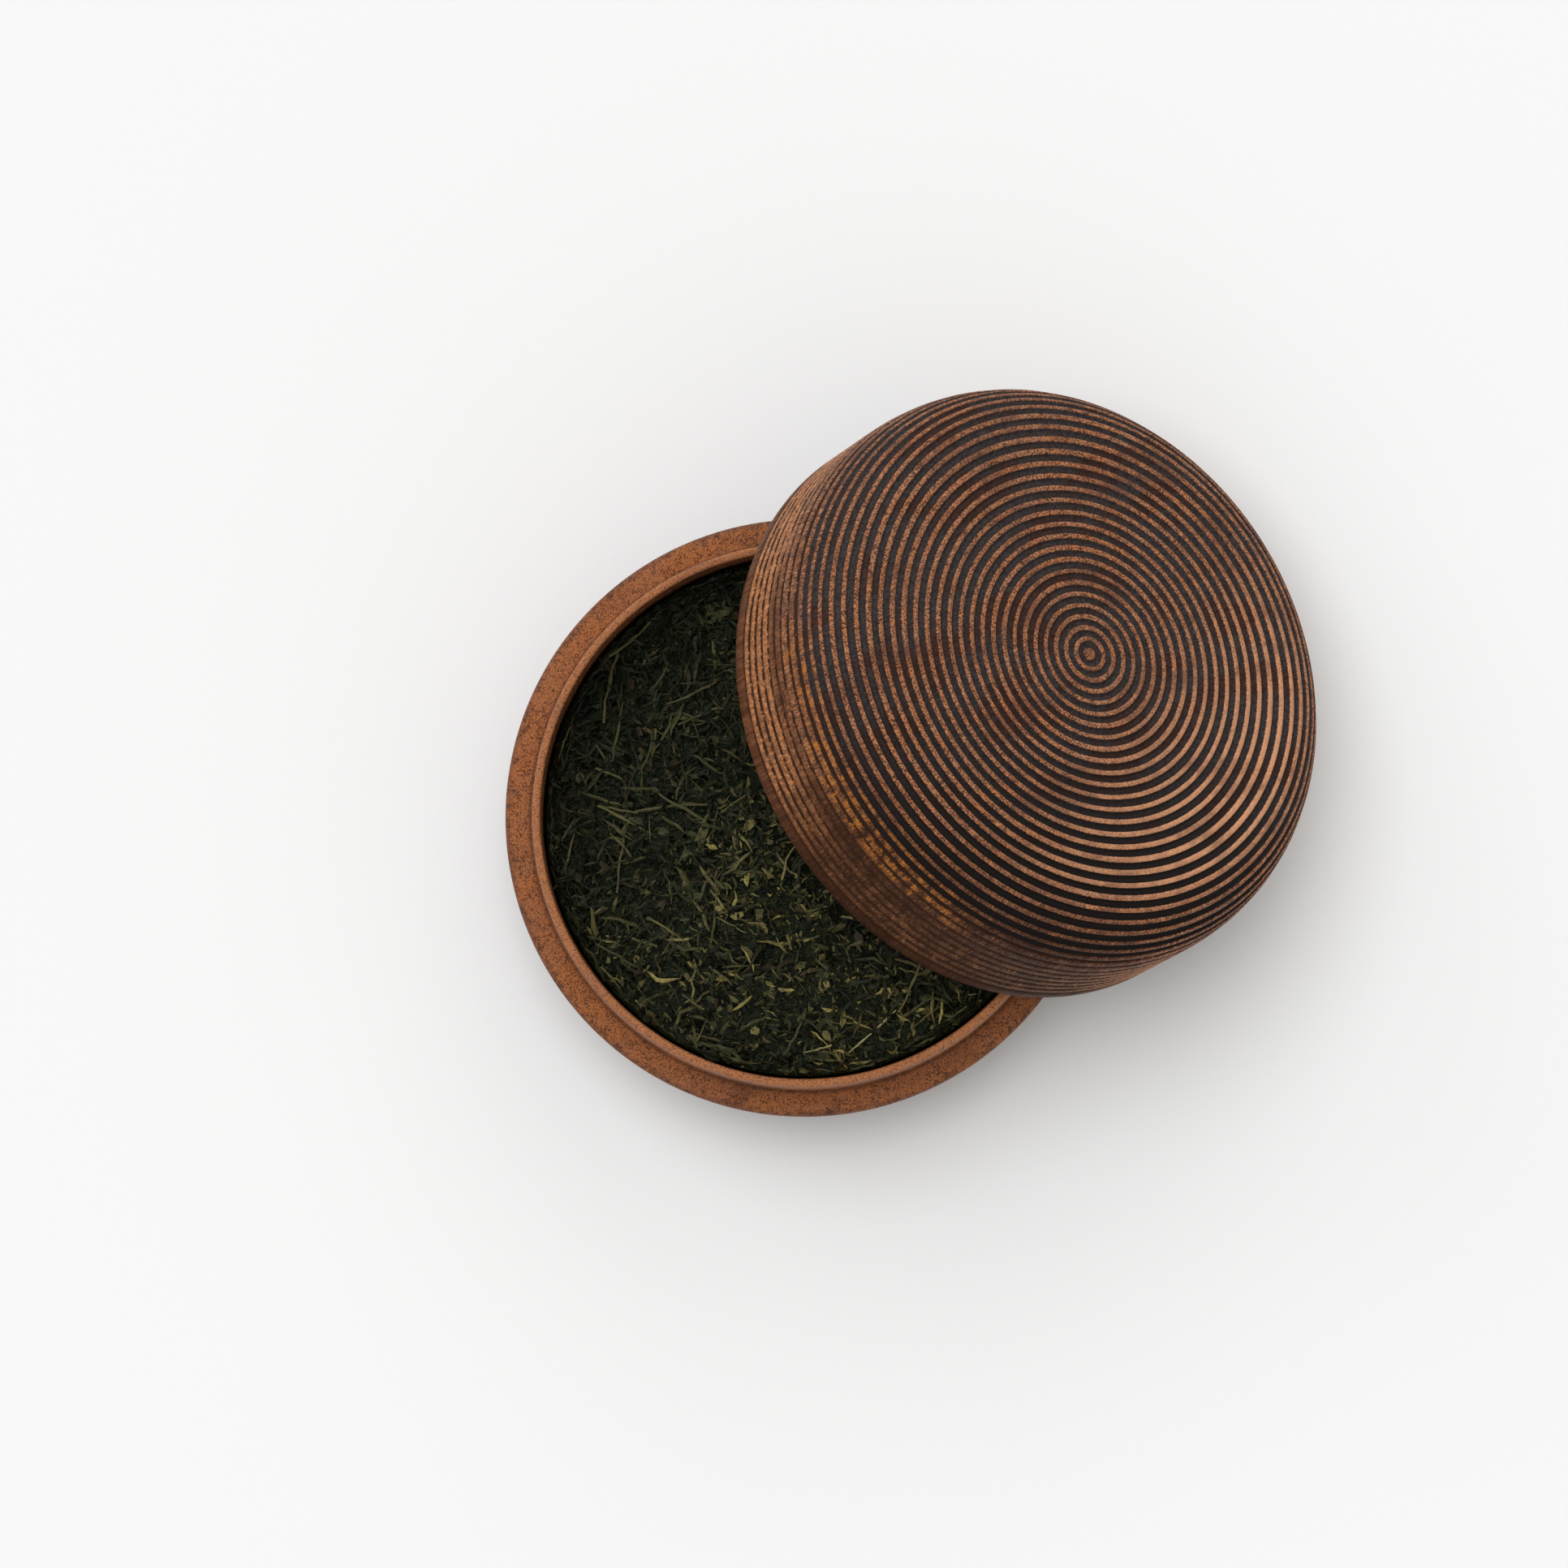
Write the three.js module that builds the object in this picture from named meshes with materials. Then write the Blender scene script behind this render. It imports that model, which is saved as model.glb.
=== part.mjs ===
// A turned wooden tea caddy, open: a bowl-shaped body full of loose leaf tea, and its domed lid.
// The lid leans on the body with its far rim edge on the table. Millimetres, +Z up.
// The origin is the middle of the body's flat foot, and the lid leans towards +X.
import * as THREE from "three";

// Outside of the closed caddy
const OUTER_RADIUS = 45;
const SHOULDER_HEIGHT = 14.5;
const SHOULDER_WIDTH = 11;
const SHOULDER_POWER = 2.35;
const EDGE_ROUND = 0.6;

// Body
const LEDGE_HEIGHT = 21.6;
const LIP_HEIGHT = 14.3;
const LIP_FOOT_RADIUS = 41;
const LIP_TOP_RADIUS = 40.4;
const LIP_INNER_RADIUS = 39.2;
const LIP_ROUND = 0.45;
const FLOOR_THICKNESS = 5;
const BOWL_CORNER = 9;

// Lid
const LID_HEIGHT = 26.5;
const LID_TOP_THICKNESS = 4.5;
const LID_BORE_RADIUS = 41.2;
const LID_CORNER = 9;
const LEAN_ANGLE = THREE.MathUtils.degToRad(34.3);
const LEAN_REACH = 33;
const TABLE_GAP = 0.05;

// Tea: a heap a little lower than the lip, with the highest point in the middle
const TEA_CLEARANCE = 0.35;
const TEA_EDGE_DROP = 5.2;
const TEA_CROWN = 1.6;

const SEGMENTS = 64;
const TEA_SEGMENTS = 48;
const CORNER_STEPS = 6;
const SHOULDER_STEPS = 8;

const WOOD_BODY = new THREE.MeshStandardMaterial({ color: 0x9c5a36, roughness: 0.5, metalness: 0 });
const WOOD_LID = new THREE.MeshStandardMaterial({ color: 0x6e4230, roughness: 0.6, metalness: 0 });
const TEA = new THREE.MeshStandardMaterial({ color: 0x23291b, roughness: 0.8, metalness: 0 });

// A quarter of a superellipse from (inner + width, base) to (inner, base + height), as [radius, z] pairs
function superQuarter(inner, base, width, height, power, steps) {
  const points = [];
  for (let i = 0; i <= steps; i++) {
    const angle = (i / steps) * (Math.PI / 2);
    const across = Math.pow(Math.cos(angle), 2 / power);
    const up = Math.pow(Math.sin(angle), 2 / power);
    points.push([inner + width * across, base + height * up]);
  }
  return points;
}

// A quarter circle about (centreR, centreZ), from one angle to another in degrees
function arc(centreR, centreZ, radius, fromDeg, toDeg, steps) {
  const points = [];
  for (let i = 0; i <= steps; i++) {
    const angle = THREE.MathUtils.degToRad(fromDeg + ((toDeg - fromDeg) * i) / steps);
    points.push([centreR + radius * Math.cos(angle), centreZ + radius * Math.sin(angle)]);
  }
  return points;
}

// A solid of revolution about Z from [radius, z] pairs that run up the outside and start and end on the axis
function turned(name, profile, segments, material) {
  const points = profile.map(([radius, height]) => new THREE.Vector2(Math.max(radius, 0), height));
  const geometry = new THREE.LatheGeometry(points, segments);
  geometry.rotateX(Math.PI / 2);
  const mesh = new THREE.Mesh(geometry, material);
  mesh.name = name;
  return mesh;
}

function caddyBody() {
  const lipTop = LEDGE_HEIGHT + LIP_HEIGHT;
  const flatRadius = OUTER_RADIUS - SHOULDER_WIDTH;
  const belly = superQuarter(flatRadius, 0, SHOULDER_WIDTH, SHOULDER_HEIGHT, SHOULDER_POWER, SHOULDER_STEPS)
    .map(([radius, height]) => [radius, SHOULDER_HEIGHT - height])
    .reverse();
  const profile = [
    [0, 0],
    ...belly,
    ...arc(OUTER_RADIUS - EDGE_ROUND, LEDGE_HEIGHT - EDGE_ROUND, EDGE_ROUND, 0, 90, 3),
    [LIP_FOOT_RADIUS, LEDGE_HEIGHT],
    ...arc(LIP_TOP_RADIUS - LIP_ROUND, lipTop - LIP_ROUND, LIP_ROUND, 0, 90, 2),
    ...arc(LIP_INNER_RADIUS + LIP_ROUND, lipTop - LIP_ROUND, LIP_ROUND, 90, 180, 2),
    ...arc(LIP_INNER_RADIUS - BOWL_CORNER, FLOOR_THICKNESS + BOWL_CORNER, BOWL_CORNER, 0, -90, CORNER_STEPS),
    [0, FLOOR_THICKNESS],
  ];
  return turned("caddy_body", profile, SEGMENTS, WOOD_BODY);
}

function lid() {
  const flatRadius = OUTER_RADIUS - SHOULDER_WIDTH;
  const wallTop = LID_HEIGHT - SHOULDER_HEIGHT;
  const ceiling = LID_HEIGHT - LID_TOP_THICKNESS;
  const profile = [
    [0, ceiling],
    ...arc(LID_BORE_RADIUS - LID_CORNER, ceiling - LID_CORNER, LID_CORNER, 90, 0, CORNER_STEPS),
    ...arc(LID_BORE_RADIUS + EDGE_ROUND, EDGE_ROUND, EDGE_ROUND, 180, 270, 2),
    ...arc(OUTER_RADIUS - EDGE_ROUND, EDGE_ROUND, EDGE_ROUND, -90, 0, 3),
    ...superQuarter(flatRadius, wallTop, SHOULDER_WIDTH, SHOULDER_HEIGHT, SHOULDER_POWER, SHOULDER_STEPS),
    [0, LID_HEIGHT],
  ];
  const mesh = turned("lid", profile, SEGMENTS, WOOD_LID);
  const leaning = new THREE.Group();
  // The rounded far corner of the rim is what comes lowest
  const rimDrop = (OUTER_RADIUS - EDGE_ROUND) * Math.sin(LEAN_ANGLE);
  const cornerRise = EDGE_ROUND * (1 - Math.cos(LEAN_ANGLE));
  leaning.rotation.y = LEAN_ANGLE;
  leaning.position.set(LEAN_REACH, 0, rimDrop + cornerRise + TABLE_GAP);
  leaning.add(mesh);
  return leaning;
}

function teaLeaves() {
  const radius = LIP_INNER_RADIUS - TEA_CLEARANCE;
  const bottom = FLOOR_THICKNESS + TEA_CLEARANCE;
  const corner = BOWL_CORNER - TEA_CLEARANCE;
  const edge = LEDGE_HEIGHT + LIP_HEIGHT - TEA_EDGE_DROP;
  const crown = [];
  for (let i = 0; i <= CORNER_STEPS; i++) {
    const share = 1 - i / CORNER_STEPS;
    crown.push([radius * share, edge + TEA_CROWN * (1 - share * share)]);
  }
  const profile = [
    [0, bottom],
    ...arc(radius - corner, bottom + corner, corner, -90, 0, CORNER_STEPS),
    ...crown,
  ];
  return turned("tea_leaves", profile, TEA_SEGMENTS, TEA);
}

const caddy = new THREE.Group();
caddy.add(caddyBody(), teaLeaves(), lid());

export default caddy;
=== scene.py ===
"""Looks for the open tea caddy: ringed wooden lid, turned body and a heap of green tea leaves.

Lengths in the constants are millimetres in the part's frame, and the meshes are built in metres.
Angles in the constants are degrees unless they say radians, and an azimuth turns from +X
towards +Y.
"""
import math

import bpy
import numpy as np
from mathutils import Euler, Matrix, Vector


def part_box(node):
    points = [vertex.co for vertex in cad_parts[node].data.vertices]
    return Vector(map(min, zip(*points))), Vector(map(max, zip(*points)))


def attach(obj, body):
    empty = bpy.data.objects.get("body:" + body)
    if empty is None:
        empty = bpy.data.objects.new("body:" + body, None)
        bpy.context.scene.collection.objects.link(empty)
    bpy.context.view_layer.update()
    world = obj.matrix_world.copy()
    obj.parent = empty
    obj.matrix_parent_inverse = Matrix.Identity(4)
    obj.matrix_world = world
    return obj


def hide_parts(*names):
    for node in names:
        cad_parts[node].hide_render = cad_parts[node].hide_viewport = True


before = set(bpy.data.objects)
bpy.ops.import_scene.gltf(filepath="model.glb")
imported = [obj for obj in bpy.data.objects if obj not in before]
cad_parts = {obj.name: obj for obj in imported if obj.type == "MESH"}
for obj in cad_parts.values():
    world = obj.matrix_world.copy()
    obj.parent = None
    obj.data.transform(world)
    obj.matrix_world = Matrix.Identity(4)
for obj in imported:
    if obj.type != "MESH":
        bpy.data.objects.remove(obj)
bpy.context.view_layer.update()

MM = 0.001

# Shape that the lid and the body share
OUTER_RADIUS = 45.0
SHOULDER_HEIGHT = 14.5
SHOULDER_WIDTH = 11.0
SHOULDER_POWER = 2.35
EDGE_ROUND = 0.6
FLAT_RADIUS = OUTER_RADIUS - SHOULDER_WIDTH
LATHE_SEGMENTS = 288
CURVE_STEPS = 240
NORMAL_REACH = 0.3

# Body. The seam's points are (out from the lip's foot, up from the ledge)
LEDGE_HEIGHT = 21.6
LEDGE_RADII = (43.2, 42.0)
SEAM = ((0.35, -0.02), (0.12, -0.1), (0.0, 0.1))
LIP_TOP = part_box("caddy_body")[1].z / MM
LIP_FOOT_RADIUS = 41.0
LIP_TOP_RADIUS = 40.4
LIP_INNER_RADIUS = 39.2
LIP_ROUND = 0.45
LIP_SHARES = (0.1, 0.35, 0.65, 0.9)
BOWL_WALL_HEIGHTS = (32, 26, 20)
BOWL_CORNER = 9.0
BOWL_FLOOR_RADIUS = 15
FLOOR_THICKNESS = 5.0

# Lid, in its own frame: the middle of its rim plane is the origin and its top faces +Z
LID_HEIGHT = 26.5
LID_TOP_THICKNESS = 4.5
LID_CEILING_RADII = (8, 16, 24)
LID_CORNER = 9.0
LID_BORE_RADIUS = 41.2
LID_BORE_HEIGHTS = (9, 5)
LEAN_ANGLE = 34.3
LEAN_REACH = 33.0
TABLE_GAP = 0.05

# Turned rings. Distances are measured along the outside from the middle of the top or the foot
FIRST_RING = 2.36
FIRST_PITCH = 1.72
PITCH_GROWTH = 0.0144
LAST_PITCH = 1.85
BODY_RINGS_FROM = 36.5
RIM_BAND = 3.1
FINE_RINGS_FROM = 47.0
FINE_RINGS_FADE = 4.0
GROOVE_DEPTH = 0.62
WALL_GROOVE_DEPTH = 0.24
GROOVE_SIDE = 0.05              # share of the pitch
GROOVE_MIDDLE_DEPTH = 0.93      # share of the groove's depth
FINE_STAIN_LOSS = 0.2
CREST_HALF = 0.215              # share of the pitch
CREST_WIDENING = 0.11
CREST_VARIATION = (0.88, 1.12)
CREST_EDGE_DEPTH = 0.22
CREST_EDGE_STAIN = 0.45
CREST_TURN_AT = 0.75            # share of the crest's half width
CREST_TURN_DEPTH = 0.04
CREST_TURN_STAIN = 0.05
PLAIN_STRIP = 0.6
# (distance from the middle, share of the groove's depth and stain)
BUTTON_EDGE = ((0.55, 0.02), (0.85, 0.12), (1.0, 0.3), (1.1, 0.97), (1.5, 1))
# (distance past the last crest, depth, stain)
LAST_LINE = ((0.62, 0.05, 0.2), (0.74, 0.28, 1), (0.92, 0.28, 1), (1.04, 0.03, 0.1))

# The heap of tea
TEA_RADIUS = LIP_INNER_RADIUS - 0.4
TEA_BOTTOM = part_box("tea_leaves")[0].z / MM
TEA_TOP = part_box("tea_leaves")[1].z / MM
TEA_CROWN = 1.6
TEA_BELOW_TOP = 0.9
TEA_DIP = 5.2
TEA_DIP_POWER = 1.5
TEA_DIP_TOWARDS = 118
TEA_DIP_FROM = 3
LOW_SWELL = 0.45
FINE_SWELL = 0.5
SWELL_PEAK = 1.4
BED_BELOW_LEAVES = 1.3
BED_ROWS = 60
BED_SEGMENTS = 180
BED_CORNER = BOWL_CORNER - 0.4
BED_TINT = 0.1

# Painted shade on the tea: how much darker a leaf is deep in the heap, in its hollows and where
# it has sunk
SURFACE_TINT = 0.86
TINT_PER_MM = 0.3
DEPTH_TINTS = (0.28, 1.1)
LOW_SWELL_TINT = 0.14
FINE_SWELL_TINT = 0.1
HOLLOW_TINTS = (0.6, 1.12)
UNSUNK_TINT = 1.07
DIP_TINT_LOSS = 0.75

# How leaves lie on the heap
LEAF_CLEARANCE = 0.15
LONGEST_REACH = 0.9             # share of the radius that leaves may fill
RIM_HEADING_SPREAD = 0.08       # radians
RIM_INSET = 0.45
RIM_TILT_SHARE = 0.4
ROLL_SPREAD = 0.5               # radians


# ---------------------------------------------------------------- mesh helpers

def mesh_object(name, verts, faces, attributes=None, smooth=True):
    """A mesh from points in millimetres; attributes are {name: array of floats or of vectors}."""
    mesh = bpy.data.meshes.new(name)
    mesh.from_pydata((np.asarray(verts) * MM).tolist(), [], faces)
    for label, values in (attributes or {}).items():
        values = np.asarray(values, np.float32)
        vectors = values.ndim == 2
        layer = mesh.attributes.new(label, "FLOAT_VECTOR" if vectors else "FLOAT", "POINT")
        layer.data.foreach_set("vector" if vectors else "value", values.ravel())
    mesh.polygons.foreach_set("use_smooth", [smooth] * len(mesh.polygons))
    mesh.validate()
    mesh.update()
    piece = bpy.data.objects.new(name, mesh)
    bpy.context.scene.collection.objects.link(piece)
    return piece


def lathe(name, profile, attributes, place=None):
    """A solid of revolution from (radius, height) points that start and end on the axis.

    attributes are {name: one value for each point of the profile}, and place is (rotation,
    position). The mesh also gets "local", each point's place before that move, in millimetres."""
    profile = np.asarray(profile, float)
    inner = profile[1:-1]
    angles = np.linspace(0, 2 * math.pi, LATHE_SEGMENTS, endpoint=False)
    rows = len(inner)
    local = np.empty((rows, LATHE_SEGMENTS, 3))
    local[:, :, 0] = inner[:, 0, None] * np.cos(angles)
    local[:, :, 1] = inner[:, 0, None] * np.sin(angles)
    local[:, :, 2] = inner[:, 1, None]
    ends = [[0, 0, profile[0, 1]], [0, 0, profile[-1, 1]]]
    verts = np.concatenate([local.reshape(-1, 3), ends])
    faces = []
    first, last = rows * LATHE_SEGMENTS, rows * LATHE_SEGMENTS + 1
    top = (rows - 1) * LATHE_SEGMENTS
    for j in range(LATHE_SEGMENTS):
        k = (j + 1) % LATHE_SEGMENTS
        faces.append((first, k, j))
        for i in range(rows - 1):
            a, b = i * LATHE_SEGMENTS, (i + 1) * LATHE_SEGMENTS
            faces.append((a + j, a + k, b + k, b + j))
        faces.append((top + j, top + k, last))
    spread = {}
    for label, values in attributes.items():
        values = np.asarray(values, float)
        around = np.repeat(values[1:-1], LATHE_SEGMENTS)
        spread[label] = np.concatenate([around, values[[0, -1]]])
    spread["local"] = verts.copy()
    if place is not None:
        verts = verts @ np.array(place[0]).T + np.array(place[1])
    return mesh_object(name, verts, faces, spread)


def arc(centre_r, centre_z, radius, from_deg, to_deg, steps):
    """(radius, height) points along an arc."""
    turn = np.radians(np.linspace(from_deg, to_deg, steps + 1))
    return [(centre_r + radius * math.cos(t), centre_z + radius * math.sin(t)) for t in turn]


def outer_curve(wall):
    """The outside from the middle of the top, over the shoulder and down a straight wall.

    Returns a function from the distance along it and the depth below it to (radius, height),
    and the whole length."""
    turn = np.linspace(math.pi / 2, 0, CURVE_STEPS)
    radius = FLAT_RADIUS + SHOULDER_WIDTH * np.cos(turn).clip(0) ** (2 / SHOULDER_POWER)
    height = SHOULDER_HEIGHT * np.sin(turn) ** (2 / SHOULDER_POWER)
    middle, foot = (0, SHOULDER_HEIGHT), (OUTER_RADIUS, -wall)
    points = np.concatenate([[middle], np.c_[radius, height], [foot]])
    along = np.concatenate([[0], np.cumsum(np.hypot(*np.diff(points, axis=0).T))])

    def on_curve(distance):
        return np.array([np.interp(distance, along, points[:, i]) for i in (0, 1)])

    def at(distance, depth):
        r, z = on_curve(distance)
        run = on_curve(distance + NORMAL_REACH) - on_curve(max(distance - NORMAL_REACH, 0))
        run /= np.linalg.norm(run)
        return r + run[1] * depth, z - run[0] * depth

    return at, along[-1]


RING_RNG = np.random.default_rng(7)


def rings(total, band):
    """Each ring crest's distance from the middle, with the pitch to the next one."""
    found, distance, pitch = [], FIRST_RING, FIRST_PITCH
    while distance < total - band:
        found.append((distance, pitch))
        distance += pitch
        pitch = pitch + PITCH_GROWTH if distance < FLAT_RADIUS else LAST_PITCH
    return found


def ringed_profile(wall, band, button=True, start=0.0):
    """(radius, height, stain, distance) points from the middle out to the foot of the wall.

    On the flat and the top of the shoulder the grooves are wide and deep. Further down they turn
    into fine lines between broad crests, and one more fine line lies below the last crest. The
    button is the small disc in the middle of the rings."""
    at, total = outer_curve(wall)
    points = []

    def add(distance, depth, stain):
        points.append((*at(distance, depth), stain, distance))

    def add_crest_edge(distance, depth, stain):
        add(distance, CREST_EDGE_DEPTH * depth, CREST_EDGE_STAIN * stain)

    add(0, 0, 0)
    crests = [(c, p) for c, p in rings(total, band) if c > start]
    if button:
        for distance, share in BUTTON_EDGE:
            add(distance, share * GROOVE_DEPTH, share)
    for k, (crest, pitch) in enumerate(crests):
        down = min(max((crest - FINE_RINGS_FROM) / FINE_RINGS_FADE, 0), 1)
        depth = GROOVE_DEPTH + (WALL_GROOVE_DEPTH - GROOVE_DEPTH) * down
        half = pitch * (CREST_HALF + CREST_WIDENING * down) * RING_RNG.uniform(*CREST_VARIATION)
        side = pitch * GROOVE_SIDE
        stain = 1 - FINE_STAIN_LOSS * down
        if k or button:
            add(crest - half - side, depth, stain)
            add_crest_edge(crest - half, depth, stain)
        add(crest - CREST_TURN_AT * half, CREST_TURN_DEPTH * depth, CREST_TURN_STAIN)
        add(crest, 0, 0)
        add(crest + CREST_TURN_AT * half, CREST_TURN_DEPTH * depth, CREST_TURN_STAIN)
        if k < len(crests) - 1:
            add_crest_edge(crest + half, depth, stain)
            add(crest + half + side, depth, stain)
            add((crest + crests[k + 1][0]) / 2, GROOVE_MIDDLE_DEPTH * depth, stain)
    for past, depth, stain in LAST_LINE:
        add(crests[-1][0] + past, depth, stain)
    add(total - EDGE_ROUND - PLAIN_STRIP, 0, 0)
    return points


# ---------------------------------------------------------------- the wooden pieces

def make_lid():
    """The lid as it leans: its top faces up and towards +X, and its rim's +X edge lies just over
    the table. The profile runs from the ceiling's middle down the bore, round the rim and up the
    outside."""
    ceiling = LID_HEIGHT - LID_TOP_THICKNESS
    wall = LID_HEIGHT - SHOULDER_HEIGHT
    inside = [(0, ceiling)] + [(r, ceiling) for r in LID_CEILING_RADII]
    inside += arc(LID_BORE_RADIUS - LID_CORNER, ceiling - LID_CORNER, LID_CORNER, 90, 0, 8)
    inside += [(LID_BORE_RADIUS, h) for h in LID_BORE_HEIGHTS]
    inside += arc(LID_BORE_RADIUS + EDGE_ROUND, EDGE_ROUND, EDGE_ROUND, 180, 270, 4)
    inside += arc(OUTER_RADIUS - EDGE_ROUND, EDGE_ROUND, EDGE_ROUND, -90, 0, 4)
    outside = [(r, z + wall, g, d) for r, z, g, d in ringed_profile(wall, RIM_BAND)]
    outside.reverse()
    foot = outside[0][3]
    profile = inside + [point[:2] for point in outside]
    groove = [0.0] * len(inside) + [point[2] for point in outside]
    along = [foot] * len(inside) + [point[3] for point in outside]
    lean = math.radians(LEAN_ANGLE)
    base = (OUTER_RADIUS - EDGE_ROUND) * math.sin(lean)
    base += EDGE_ROUND * (1 - math.cos(lean)) + TABLE_GAP
    place = Euler((0, lean, 0)).to_matrix(), (LEAN_REACH, 0, base)
    piece = lathe("turned_lid", profile, {"groove": groove, "along": along}, place)
    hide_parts("lid")
    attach(piece, "lid")
    return piece


def make_body():
    """The body: its profile runs from the foot's middle up the ringed belly, in over the ledge,
    up and over the lip, and down the bowl to the middle of its floor."""
    wall = LEDGE_HEIGHT - SHOULDER_HEIGHT
    outline = ringed_profile(wall, RIM_BAND, button=False, start=BODY_RINGS_FROM)
    profile = [(r, SHOULDER_HEIGHT - z) for r, z, _, _ in outline]
    groove = [point[2] for point in outline]
    along = [point[3] for point in outline]
    top = arc(OUTER_RADIUS - EDGE_ROUND, LEDGE_HEIGHT - EDGE_ROUND, EDGE_ROUND, 0, 90, 4)
    top += [(r, LEDGE_HEIGHT) for r in LEDGE_RADII]
    top += [(LIP_FOOT_RADIUS + out, LEDGE_HEIGHT + up) for out, up in SEAM]
    rise = LIP_TOP - LIP_ROUND - LEDGE_HEIGHT
    for share in LIP_SHARES:
        radius = LIP_FOOT_RADIUS + (LIP_TOP_RADIUS - LIP_FOOT_RADIUS) * share
        top.append((radius, LEDGE_HEIGHT + rise * share))
    top += arc(LIP_TOP_RADIUS - LIP_ROUND, LIP_TOP - LIP_ROUND, LIP_ROUND, 0, 90, 5)
    top += arc(LIP_INNER_RADIUS + LIP_ROUND, LIP_TOP - LIP_ROUND, LIP_ROUND, 90, 180, 5)
    top += [(LIP_INNER_RADIUS, z) for z in BOWL_WALL_HEIGHTS]
    corner = LIP_INNER_RADIUS - BOWL_CORNER, FLOOR_THICKNESS + BOWL_CORNER
    top += arc(*corner, BOWL_CORNER, 0, -90, 8)
    top += [(BOWL_FLOOR_RADIUS, FLOOR_THICKNESS), (0, FLOOR_THICKNESS)]
    profile += top
    groove += [0.0] * len(top)
    along += [along[-1]] * len(top)
    piece = lathe("turned_body", profile, {"groove": groove, "along": along})
    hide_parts("caddy_body")
    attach(piece, "caddy")
    return piece


# ---------------------------------------------------------------- the tea

RNG = np.random.default_rng(20)


def make_swell(count, shortest, longest):
    """A smooth bumpy function of x and y, about -1 to 1, from waves in random directions."""
    heading = RNG.uniform(0, 2 * math.pi, count)
    wave = 2 * math.pi / RNG.uniform(shortest, longest, count)
    phase = RNG.uniform(0, 2 * math.pi, count)

    def swell(x, y):
        total = 0
        for h, w, p in zip(heading, wave, phase):
            total = total + np.sin(w * (np.cos(h) * x + np.sin(h) * y) + p)
        return total / math.sqrt(count) / SWELL_PEAK

    return swell


low_swell = make_swell(count=9, shortest=14, longest=40)
fine_swell = make_swell(count=14, shortest=2.5, longest=7)


def dip_side(x, y):
    """How far a point lies towards the side where the tea has sunk, 0 to 1."""
    turn = math.radians(TEA_DIP_TOWARDS)
    towards = np.cos(turn) * x + np.sin(turn) * y
    return np.clip((towards - TEA_DIP_FROM) / (TEA_RADIUS - TEA_DIP_FROM), 0, 1)


def tea_height(x, y):
    """The mean height of the tea's surface."""
    share = np.hypot(x, y) / TEA_RADIUS
    crown = TEA_TOP - TEA_CROWN * share ** 2
    crown = crown + LOW_SWELL * low_swell(x, y) + FINE_SWELL * fine_swell(x, y) - TEA_BELOW_TOP
    return crown - TEA_DIP * dip_side(x, y) ** TEA_DIP_POWER


def shaded_tint(centre, tint):
    """Painted shade: leaves are darker deep in the heap, where the tea has sunk, and in its
    hollows.
    """
    x, y, z = centre.T
    depth = np.clip(SURFACE_TINT + TINT_PER_MM * (z - tea_height(x, y)), *DEPTH_TINTS)
    hollow = 1 + LOW_SWELL_TINT * low_swell(x, y) + FINE_SWELL_TINT * fine_swell(x, y)
    hollow = np.clip(hollow, *HOLLOW_TINTS)
    return tint * depth * hollow * (UNSUNK_TINT - DIP_TINT_LOSS * dip_side(x, y))


def scatter(count, half_length, tilt, low, high):
    """Centres and right-handed axes (length, width, normal) for leaves lying on the heap.

    A leaf that would reach past the lip is turned to lie along it. tilt is the usual slope in
    radians, and low and high are the least and the most height above the mean surface."""
    limit = TEA_RADIUS - LEAF_CLEARANCE
    reach = np.minimum(half_length, limit * LONGEST_REACH)
    radius = limit * np.sqrt(RNG.random(count))
    turn = RNG.uniform(0, 2 * math.pi, count)
    heading = RNG.uniform(0, 2 * math.pi, count)
    out = radius + reach * np.abs(np.cos(heading - turn))
    outside = np.hypot(out, reach * np.sin(heading - turn)) > limit
    along_rim = turn + math.pi / 2 + RNG.normal(0, RIM_HEADING_SPREAD, count)
    heading = np.where(outside, along_rim, heading)
    within = np.sqrt(limit ** 2 - reach ** 2) - RIM_INSET
    radius = np.where(outside, np.minimum(radius, within), radius)
    x, y = radius * np.cos(turn), radius * np.sin(turn)
    pitch = RNG.normal(0, tilt, count) * np.where(outside, RIM_TILT_SHARE, 1)
    roll = RNG.normal(0, ROLL_SPREAD, count)
    level = np.cos(pitch)
    forward = np.c_[np.cos(heading) * level, np.sin(heading) * level, np.sin(pitch)]
    side = np.c_[-np.sin(heading), np.cos(heading), np.zeros(count)]
    up = np.cross(forward, side)
    width = side * np.cos(roll)[:, None] + up * np.sin(roll)[:, None]
    normal = np.cross(forward, width)
    z = tea_height(x, y) + RNG.uniform(low, high, count)
    return np.c_[x, y, z], forward, width, normal


def repeated(template, per, count):
    """One leaf's faces, for each of count leaves of per points."""
    return [tuple(n * per + c for c in face) for n in range(count) for face in template]


def rod_faces(sections, around):
    """A closed rod of sections + 1 rings of around points."""
    faces = []
    for i in range(sections):
        for j in range(around):
            k = (j + 1) % around
            a, b = i * around, (i + 1) * around
            faces.append((a + j, b + j, b + k, a + k))
    faces.append(tuple(range(around)))
    faces.append(tuple(reversed(range(sections * around, (sections + 1) * around))))
    return faces


def plate_faces(around):
    """A closed plate: around points and a middle one on its upper side, and the same below."""
    under = around + 1
    faces = []
    for j in range(around):
        k = (j + 1) % around
        faces.append((j, k, around))
        faces.append((under + k, under + j, under + around))
        faces.append((k, j, under + j, under + k))
    return faces


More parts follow.
